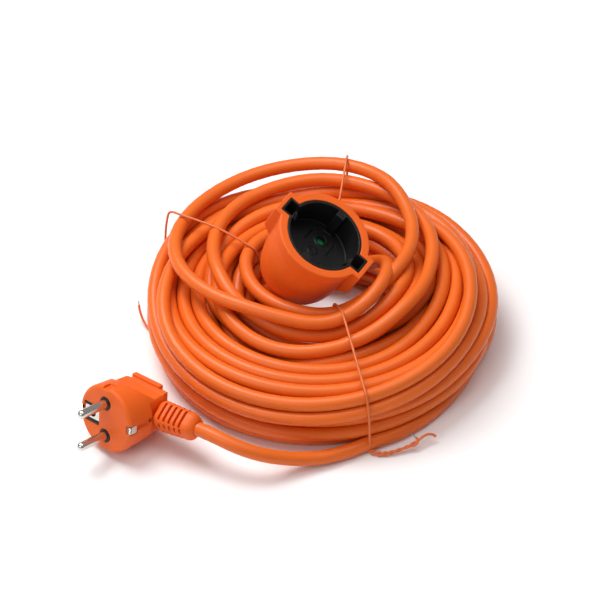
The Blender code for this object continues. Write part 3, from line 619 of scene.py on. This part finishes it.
def prism(outline, half_width):
    """An outline in Y and Z, drawn out along X."""
    body = bmesh.new()
    near = [body.verts.new((-half_width, y, z)) for y, z in outline]
    face = body.faces.new(near)
    drawn = bmesh.ops.extrude_face_region(body, geom=[face])["geom"]
    far = [v for v in drawn if isinstance(v, bmesh.types.BMVert)]
    bmesh.ops.translate(body, verts=far, vec=(2 * half_width, 0, 0))
    return raw(body)


def copy_of(node):
    """The CAD node's shape in a new object, to be refined."""
    shape = bpy.data.objects.new("shape", frame["nodes"][node].data.copy())
    bpy.context.scene.collection.objects.link(shape)
    return shape


def carve(base, joins=(), cuts=(), keep=None):
    """Keep what lies inside keep, add joins and take away cuts, and remove the tools."""
    steps = [("INTERSECT", keep)] if keep else []
    steps += [("UNION", tool) for tool in joins] + [("DIFFERENCE", tool) for tool in cuts]
    for operation, tool in steps:
        step = base.modifiers.new(operation, "BOOLEAN")
        step.operation = operation
        step.solver = "EXACT"
        step.object = tool
    settled(base)
    for _, tool in steps:
        bpy.data.objects.remove(tool)
    return base


def settled(piece):
    """Apply all modifiers."""
    seen = piece.evaluated_get(bpy.context.evaluated_depsgraph_get())
    mesh = bpy.data.meshes.new_from_object(seen)
    piece.modifiers.clear()
    piece.data = mesh


def moulded(shape, voxel, rounds):
    """Round every edge a little, as a mould does: remesh finely, then smooth."""
    step = shape.modifiers.new("remesh", "REMESH")
    step.mode = "VOXEL"
    step.voxel_size = voxel * MM
    step = shape.modifiers.new("smooth", "SMOOTH")
    step.factor = 0.5
    step.iterations = rounds
    settled(shape)
    shape.data.shade_smooth()
    return shape


def softened(shape, width, segments=2):
    """Round the edges of a thin or small piece with a bevel."""
    step = shape.modifiers.new("bevel", "BEVEL")
    step.width = width * MM
    step.segments = segments
    step.limit_method = "ANGLE"
    step.angle_limit = radians(32)
    settled(shape)
    shape.data.shade_smooth()
    shape.data.set_sharp_from_angle(angle=radians(40))
    return shape


def piece_from(shape, name, slot, node, matrix=None, body="root"):
    """Turn a shape into a piece that stands for a CAD node; matrix takes it out of its part's own frame."""
    shape.name = name
    if matrix is not None:
        shape.data.transform(matrix)
    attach(shape, body)
    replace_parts(shape, node)
    finish(shape, slot)
    return shape


# ---------------------------------------------------------------- plug

PIN_OFFSET = 9.5            # from the middle to a pin, in the plug and in the socket
PIN_RADIUS = 2.4
PIN_LENGTH = 19.0


def make_plug_body():
    body = turned([(0, 0), (16.6, 0), (17.6, -0.2), (18.3, -0.8), (18.7, -1.6), (18.75, -2.6), (18.2, -12.0),
                   (16.9, -29.0), (15.9, -30.0), (0, -30.0)])
    half = [(25.0, 1.0), (19.0, -9.0), (9.8, -21.5), (9.8, -35.0)]
    carve(body, keep=prism(half + [(-y, z) for y, z in half[::-1]], 30.0))
    grip = [block((-10.2, -10.4, -31.4), (14.6, 10.4, -28.2)),
            block((-10.5, -12.2, -33.0), (9.5, 12.2, -29.9))]
    cuts = []
    for end in (1, -1):
        cuts += [block((-2.3, end * 17.2, -6), (2.3, end * 22, 2)),             # guide groove
                 drum(3.75, 3, -5, (0, end * PIN_OFFSET)),                      # collar of the pin
                 block((end * 17.0, -0.9, -16.6), (end * 22, 2.2, 2)),          # side groove
                 block((end * 16.9, -2.4, -5.6), (end * 22, 2.4, 3)),           # room for the folded contact
                 block((end * 15.4, -2.4, -1.5), (end * 22, 2.4, 3)),
                 block((end * 15.6, -0.4, -19.0), (end * 22, 1.5, -14.6))]      # slot behind it
    cuts += [block((-15.4, -5.6, -5), (-4.6, 5.6, 2)), block((-13.8, -11.8, -13), (7.1, 11.8, -3.9)),
             block((-16.8, -2.6, -16.6), (16.8, 2.6, -12.5)), block((-12.4, -9.4, -18.9), (6.9, 9.4, -12.4)),
             block((15.2, -20, -40), (30, 20, -17.3))]
    carve(body, grip, cuts)
    piece_from(moulded(body, 0.26, 7), "plug_shell", "orange_pvc", "plug_body", PLUG)


def make_side_contacts():
    """The folded ends of the earth strip, and the strip below them inside the body."""
    strip = block((-16.9, -2.0, -15.3), (16.9, 2.0, -14.6))
    folds = []
    for end in (1, -1):
        folds += [block((end * 16.2, -2.0, -15.3), (end * 16.9, 2.0, -4.4)),
                  block((end * 16.3, -2.0, -5.1), (end * 18.1, 2.0, -4.4)),
                  block((end * 17.4, -2.0, -5.1), (end * 18.1, 2.0, -0.6)),
                  block((end * 15.6, -2.0, -1.3), (end * 18.1, 2.0, -0.6))]
    carve(strip, folds)
    piece_from(softened(strip, 0.25, 3), "side_contacts", "nickel_plate", "plug_earth_strip", PLUG)


def make_pin_bridge():
    """The black block in the face: a collar round each pin and a bar on each side of the earth plate."""
    bridge = block((-13.5, -11.5, -12.4), (6.8, 11.5, -4.2))
    joins, cuts = [], [drum(3.4, 3, -20, (-10, 0))]
    for end in (1, -1):
        joins += [drum(3.5, 0.05, -4.6, (0, end * PIN_OFFSET)),
                  block((-15.0, end * 3.9, -4.6), (-5.0, end * 5.2, -0.2))]
        cuts.append(drum(PIN_RADIUS + 0.1, 3, -20, (0, end * PIN_OFFSET)))
    carve(bridge, joins, cuts)
    piece_from(softened(bridge, 0.18, 3), "pin_bridge", "black_polyamide", "plug_pin_bridge", PLUG)


def make_plug_pins():
    dome = [(PIN_RADIUS * sin(k * pi / 20), PIN_LENGTH - PIN_RADIUS * (1 - cos(k * pi / 20)))
            for k in range(11)]
    for end, node in ((1, "plug_line_pin"), (-1, "plug_neutral_pin")):
        pin = turned(dome + [(PIN_RADIUS, -12.8), (1.7, -12.8), (1.7, -14.6), (0, -14.6)], 64)
        pin.data.transform(Matrix.Translation((0, end * PIN_OFFSET * MM, 0)))
        pin.data.shade_smooth()
        pin.data.set_sharp_from_angle(angle=radians(35))
        piece_from(pin, node.replace("plug_", "nickel_"), "nickel_plate", node, PLUG)


def make_plug_relief():
    """A square bar with rounded edges, tapered to a collar, with slots across it that let it bend."""
    length, start, end, inside = 23.4, 7.6, 6.6, 1.8
    body = bmesh.new()
    bmesh.ops.create_cone(body, cap_ends=True, segments=4, radius1=(start + 0.1) * 2 ** 0.5,
                          radius2=end * 2 ** 0.5, depth=length + inside)
    bmesh.ops.rotate(body, verts=body.verts, matrix=Matrix.Rotation(pi / 4, 3, "Z"))
    bmesh.ops.translate(body, verts=body.verts, vec=(0, 0, (length - inside) / 2))
    bar = raw(body)
    step = bar.modifiers.new("bevel", "BEVEL")
    step.width = 4.7 * MM
    step.segments = 10
    step.limit_method = "ANGLE"
    step.angle_limit = radians(60)
    settled(bar)
    cuts = []
    pitch, first, half_slot, deep = 3.15, 3.2, 0.6, 3.6
    for k in range(5):
        z = first + pitch * k
        z_side = z + pitch / 2 - 1.0
        reach = start + (end - start) * z / length
        for side in (1, -1):
            low, high = side * (reach - deep), side * (reach + 2)
            cuts.append(block((low, -5.1, z - half_slot), (high, 5.1, z + half_slot)))
            for row in (1, -1):
                cuts.append(block((row * 2.1, low, z_side - half_slot),
                                  (row * 5.3, high, z_side + half_slot)))
    carve(bar, [], cuts + [drum(3.75, length + 1, length - 2.5)])
    turn = Matrix.Rotation(pi / 2 + RELIEF_LEAN, 4, "Y") @ Matrix.Rotation(RELIEF_ROLL, 4, "Z")
    bar.data.transform(Matrix.Translation(Vector((RELIEF_START * MM).tolist())) @ turn)
    piece_from(moulded(bar, 0.24, 4), "plug_relief", "orange_pvc", "plug_strain_relief", PLUG)


def make_plug():
    make_plug_body()
    make_plug_pins()
    make_plug_relief()
    make_pin_bridge()
    make_side_contacts()
    piece_from(softened(copy_of("plug_earth_socket"), 0.12), "earth_plate", "nickel_plate",
               "plug_earth_socket")


# ---------------------------------------------------------------- socket

def make_housing():
    housing = turned([(0, 2), (25.4, 2), (25.4, 0.001), (25.8, -0.25), (25.95, -0.8), (24.9, -8.0),
                      (24.4, -20.0), (23.4, -29.0), (21.9, -37.0), (20.4, -41.0), (17.6, -44.8),
                      (13.2, -48.0), (9.6, -49.6), (8.9, -50.0), (0, -50.0)])
    lugs, cuts = [], []
    for end in (1, -1):
        lug = block((end * 18, -8, -21.5), (end * 29, 8, 1))
        lugs.append(carve(lug, keep=turned([(0, 3), (30.5, 3), (30.5, -15.2), (24, -21.3), (0, -21.3)])))
        cuts.append(block((end * 17, -5.2, -15.1), (end * 26.5, 5.2, 3)))
    cuts += [drum(21.4, 4, -30, segments=160), drum(20.6, 0, -38.3, segments=160), drum(12.5, -35, -44.6),
             drum(4.5, -40, -60), block((-40, -40, 0), (40, 40, 10))]
    carve(housing, lugs, cuts)
    piece_from(moulded(housing, 0.3, 4), "socket_shell", "orange_pvc", "socket_housing", SOCKET)


def make_insert():
    """The black well, with its ribs, ears, floor, raised rings round the pin holes and a centre boss."""
    insert = drum(21.2, 2, -20.7, segments=160)
    ears = [block((end * 15, -5, -14.6), (end * 26.3, 5, 1)) for end in (1, -1)]
    carve(insert, ears, [drum(19.75, 4, -17.5, segments=160)])
    joins, cuts = [], []
    for end in (1, -1):
        joins += [block((-2.6, end * 16.4, -18.5), (2.6, end * 20.4, -0.8)),        # guide rib
                  drum(3.7, -17.1, -18, (0, end * PIN_OFFSET), foot=4.0)]           # ring
        cuts += [block((end * 16.8, -4.0, -13.4), (end * 25.3, 4.0, 4)),            # clip ear
                 block((end * 16.8, -3.7, -17.8), (end * 22, 3.7, 0)),              # clip's room in the wall
                 block((end * 17.6, -2.9, -30), (end * 21.7, 2.9, -16.5)),          # and in the floor
                 drum(2.6, 0, -30, (0, end * PIN_OFFSET)),
                 drum(3.2, -16.6, -17.5, (0, end * PIN_OFFSET), foot=2.6)]
        for side in (1, -1):
            cuts.append(block((side * 7.2, end * 3.5, -18.0), (side * 8.0, end * 13, -17.2)))
    joins.append(drum(2.5, -17.0, -18))
    cuts += [block((-1.7, -0.35, -17.6), (1.7, 0.35, -16.5)), block((-30, -30, -0.2), (30, 30, 9))]
    carve(insert, joins, cuts)
    piece_from(moulded(insert, 0.25, 3), "socket_well", "black_polyamide", "socket_insert", SOCKET)


def make_socket_relief():
    """A tapered, ringed boot that bends with the cable."""
    points = socket_relief_line(0.0, SOCKET_RELIEF_LENGTH, 70)
    taper = []
    for k in range(len(points)):
        share = k / (len(points) - 1)
        ring = 0.35 * (0.5 - 0.5 * cos(2 * pi * 6 * share)) if 0.08 < share < 0.92 else 0.0
        taper.append(1 - 0.27 * share - ring * 0.3)
    boot = curve_piece("socket_relief", points + COIL_CENTRE, 14.6, 48, taper=taper)
    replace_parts(boot, "socket_strain_relief")
    finish(boot, "orange_pvc")


def make_socket():
    make_housing()
    make_insert()
    make_socket_relief()
    for side in ("left", "right"):
        node = "socket_earth_clip_" + side
        piece_from(softened(copy_of(node), 0.14), "earth_clip_spring_" + side, "nickel_plate", node,
                   body="earth_clip_" + side)
    piece_from(softened(copy_of("socket_shutter"), 0.2), "shutter_plate", "green_shutter", "socket_shutter",
               body="shutter")


# ---------------------------------------------------------------- wire ties

TIE_DIAMETER = 1.35


def tie_ring(angle, slack):
    """A loop of wire drawn round the cables in one section; with slack it stands off on its outer side."""
    circles = np.array([(r, z) for k in (-1, 0, 1)
                        for r, z, _ in cable_sections[(round(angle / 5) + k) % STEPS] if 24 < r < 98])
    clear = CABLE_DIAMETER / 2 + TIE_DIAMETER / 2
    loop = []
    for turn in np.linspace(-0.30 * pi, 1.69 * pi, 100):
        way = np.array([cos(turn), sin(turn)])
        point = circles[np.argmax(circles @ way)] + way * (clear + slack * max(0.0, cos(turn - 0.5)) ** 4)
        loop.append((point[0], max(point[1], TIE_DIAMETER / 2 + 0.1)))
    radius, height = soften(np.array(loop)[:, 0], 5), soften(np.array(loop)[:, 1], 5)
    across = np.linspace(2.0, -2.0, len(loop))[:, None]     # the ends lie side by side
    turn = radians(angle)
    ahead, left = np.array([cos(turn), sin(turn), 0]), np.array([-sin(turn), cos(turn), 0])
    return radius[:, None] * ahead + across * left + height[:, None] * np.array([0, 0, 1])


def twisted(points, wide, turns):
    """Two strands wound round a line."""
    line = catmull_rom(points, 0.5)
    along = np.gradient(line, axis=0)
    along /= np.linalg.norm(along, axis=1)[:, None]
    side = np.cross(along, [0, 0, 1])
    side /= np.linalg.norm(side, axis=1)[:, None]
    up = np.cross(side, along)
    turn = np.linspace(0, 2 * pi * turns, len(line))[:, None]
    swing = wide * (np.cos(turn) * side + np.sin(turn) * up)
    return line + swing, line - swing


def wire(name, points):
    piece = curve_piece(name, points + COIL_CENTRE, TIE_DIAMETER, 10)
    finish(piece, "orange_tie_wire")
    return piece


def bare_tip(name, tip, behind):
    way = (tip - behind) / np.linalg.norm(tip - behind)
    piece = curve_piece(name, np.array([tip - way * 0.5, tip + way * 2.4]) + COIL_CENTRE, 0.75, 8)
    finish(piece, "spring_steel")


def make_ties():
    """Each tie goes once round the bundle; its ends are twisted together or stand free."""
    for name, angle, slack in (("front", -76.5, 0.0), ("left", 152.0, 4.2), ("back", 80.5, 0.5)):
        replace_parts(wire(name + "_tie", tie_ring(angle, slack)), "tie_" + name)
    one, two = twisted([(23.5, -93.0, 1.8), (27.5, -95.5, 1.6), (32.0, -96.0, 1.9), (36.5, -95.0, 2.4),
                        (42.3, -92.8, 3.0), (46.3, -91.5, 4.0)], 0.8, 3.5)
    one = catmull_rom([*one[::6], (48.9, -90.0, 5.2), (51.5, -88.0, 6.2), (54.5, -86.2, 6.4),
                       (57.4, -85.2, 5.0), (58.6, -85.6, 4.0)], 0.8)
    two = catmull_rom([*two[::6], (48.4, -91.3, 4.6), (49.3, -89.8, 5.6), (48.0, -88.8, 6.6)], 0.8)
    loose = catmull_rom([(-42.0, 20.0, 0.8), (-68.0, 9.0, 0.8), (-91.0, -0.5, 0.8), (-95.6, 0.4, 1.2),
                         (-97.9, 3.2, 2.2), (-100.0, 6.7, 4.4), (-101.4, 9.7, 8.0), (-101.7, 11.2, 9.6)], 1.2)
    wire("front_tie_end", one)
    wire("front_tie_short_end", two)
    wire("left_tie_end", loose)
    bare_tip("front_tie_tip", two[-1], two[-2])
    bare_tip("left_tie_tip", loose[-1], loose[-2])


make_plug()
make_socket()
make_ties()
finish(cable, "orange_cable")
for node, slot in {part["node"]: part["material_slot"] for part in frame["record"]["subparts"]}.items():
    carried = frame["nodes"][node]
    for place in carried.material_slots:
        place.material = FINISHES[slot]


# ---------------------------------------------------------------- stage

LIGHTS = [("key", (-0.50, 0.40, 1.25), 16.0, 0.8), ("top", (0.25, -0.05, 1.5), 6.0, 1.0),
          ("fill", (-0.7, -0.8, 0.8), 3.4, 0.8)]          # name, place, watts, size


def make_stage():
    """A pale floor, an even pale world and three soft lights."""
    mesh = bpy.data.meshes.new("floor")
    body = bmesh.new()
    bmesh.ops.create_grid(body, x_segments=1, y_segments=1, size=4.0)
    body.to_mesh(mesh)
    body.free()
    floor = bpy.data.objects.new("floor", mesh)
    bpy.context.scene.collection.objects.link(floor)
    material = bpy.data.materials.new("floor")
    material.use_nodes = True
    shader = material.node_tree.nodes["Principled BSDF"]
    shader.inputs["Base Color"].default_value = (0.95, 0.94, 0.94, 1)
    shader.inputs["Roughness"].default_value = 0.55
    mesh.materials.append(material)
    world = bpy.data.worlds.new("studio")
    world.use_nodes = True
    world.node_tree.nodes["Background"].inputs["Color"].default_value = (1.0, 1.0, 1.0, 1)
    world.node_tree.nodes["Background"].inputs["Strength"].default_value = 0.26
    bpy.context.scene.world = world
    bpy.context.scene.view_settings.view_transform = "Standard"
    for name, place, power, size in LIGHTS:
        light = bpy.data.lights.new(name, "AREA")
        light.energy = power
        light.size = size
        lamp = bpy.data.objects.new(name, light)
        lamp.location = place
        lamp.rotation_euler = (Vector((0, 0, 0.02)) - Vector(place)).to_track_quat("-Z", "Y").to_euler()
        bpy.context.scene.collection.objects.link(lamp)


make_stage()
